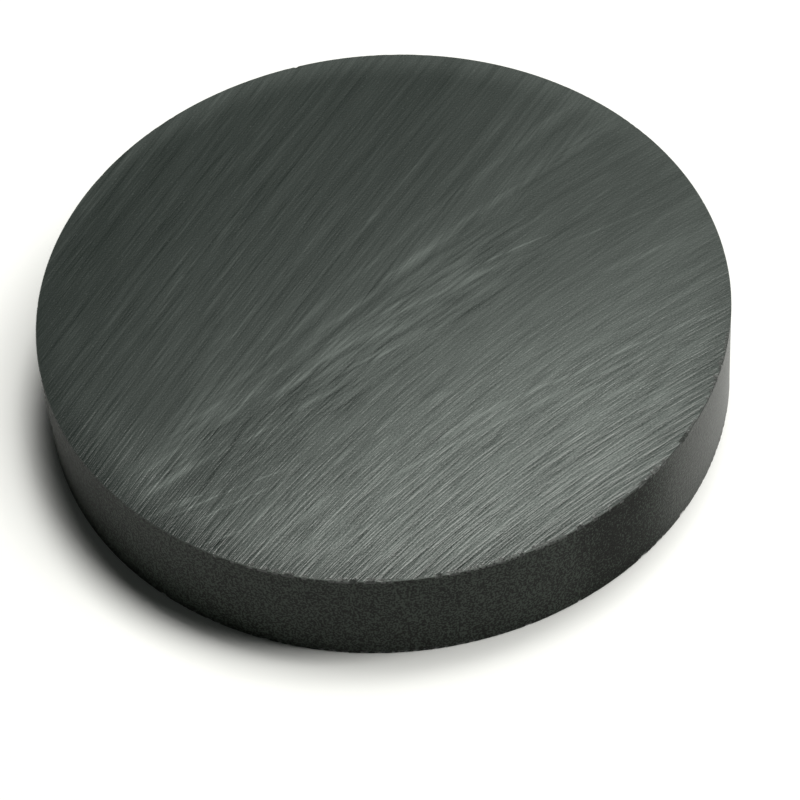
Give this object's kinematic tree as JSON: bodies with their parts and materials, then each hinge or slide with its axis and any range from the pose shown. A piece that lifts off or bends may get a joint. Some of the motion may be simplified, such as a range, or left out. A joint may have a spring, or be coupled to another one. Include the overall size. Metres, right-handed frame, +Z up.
{
  "type": "disc magnet",
  "caption": "Plain ceramic (hard ferrite) disc magnet with two ground flat faces, an as-sintered wall and small chips along its rims.",
  "frame": {"origin": "centre of the bottom ground face, which the disc rests on", "axes": "+Z up along the disc's axis, out of the top ground face; the knocked stretch of the rims lies between 36 and 112 degrees from +X towards -Y"},
  "size_m": [0.0381, 0.0381, 0.0063],
  "materials": {
    "ferrite": "fine-ground faces with a soft sheen, matt granular wall"
  },
  "bodies": {
    "root": {"ferrite_disc": "ferrite"}
  },
  "joints": []
}
